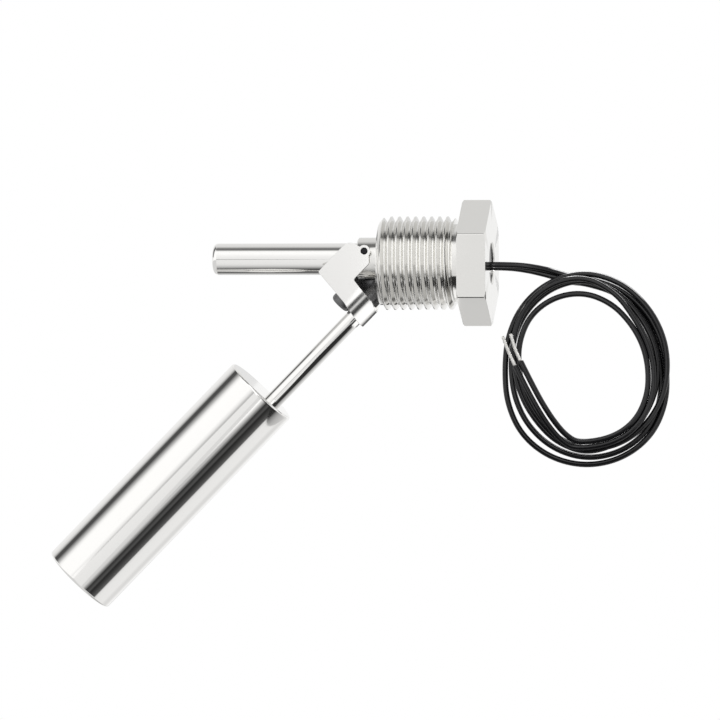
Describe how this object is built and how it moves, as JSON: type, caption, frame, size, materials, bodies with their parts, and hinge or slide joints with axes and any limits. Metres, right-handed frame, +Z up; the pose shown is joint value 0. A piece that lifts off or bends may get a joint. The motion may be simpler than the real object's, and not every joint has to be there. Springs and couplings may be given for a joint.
{
  "type": "float_level_switch",
  "caption": "Side-mounted stainless steel float level switch with a threaded hexagon plug, a hinged float arm and a coil of black leads.",
  "frame": {"origin": "centre of the hexagon's sealing face, which bears on the outside of the tank wall", "axes": "+X out of the tank along the thread's axis, towards the leads; +Z up; +Y completes the right-handed frame and is the hinge pin's axis"},
  "size_m": [0.1396, 0.0254, 0.0914],
  "materials": {
    "steel": "turned and bead-polished stainless steel",
    "polished_steel": "mirror-polished stainless steel",
    "black_pvc": "glossy PVC wire insulation",
    "black_resin": "cast epoxy resin",
    "black_ferrite": "coated ferrite",
    "white_nylon": "moulded nylon",
    "tinned_copper": "tinned copper and nickel-iron",
    "clear_glass": "clear glass"
  },
  "bodies": {
    "plug": {"plug_body": "steel", "hinge_neck": "steel", "hinge_pin": "steel", "stem_tube": "steel", "potting": "black_resin", "inner_wire_a": "black_pvc", "inner_wire_b": "black_pvc", "joint_sleeve_a": "tinned_copper", "joint_sleeve_b": "tinned_copper", "reed_glass": "clear_glass", "reed_blade_a": "tinned_copper", "reed_blade_b": "tinned_copper", "reed_holder": "white_nylon", "lead_coil": "black_pvc", "lead_a": "black_pvc", "lead_b": "black_pvc", "lead_tail_a": "black_pvc", "lead_tail_b": "black_pvc", "bare_strand_a": "tinned_copper", "bare_strand_b": "tinned_copper"},
    "float_arm": {"yoke": "steel", "arm_rod": "steel", "magnet": "black_ferrite", "float_tube": "polished_steel", "float_cap_near": "polished_steel", "float_cap_far": "polished_steel"}
  },
  "joints": [
    {"name": "float_swing", "type": "hinge", "parent": "plug", "child": "float_arm", "pos_m": [-0.02155, 0, 0.00267], "axis": [0, 1, 0], "range_deg": [0, 21]}
  ]
}
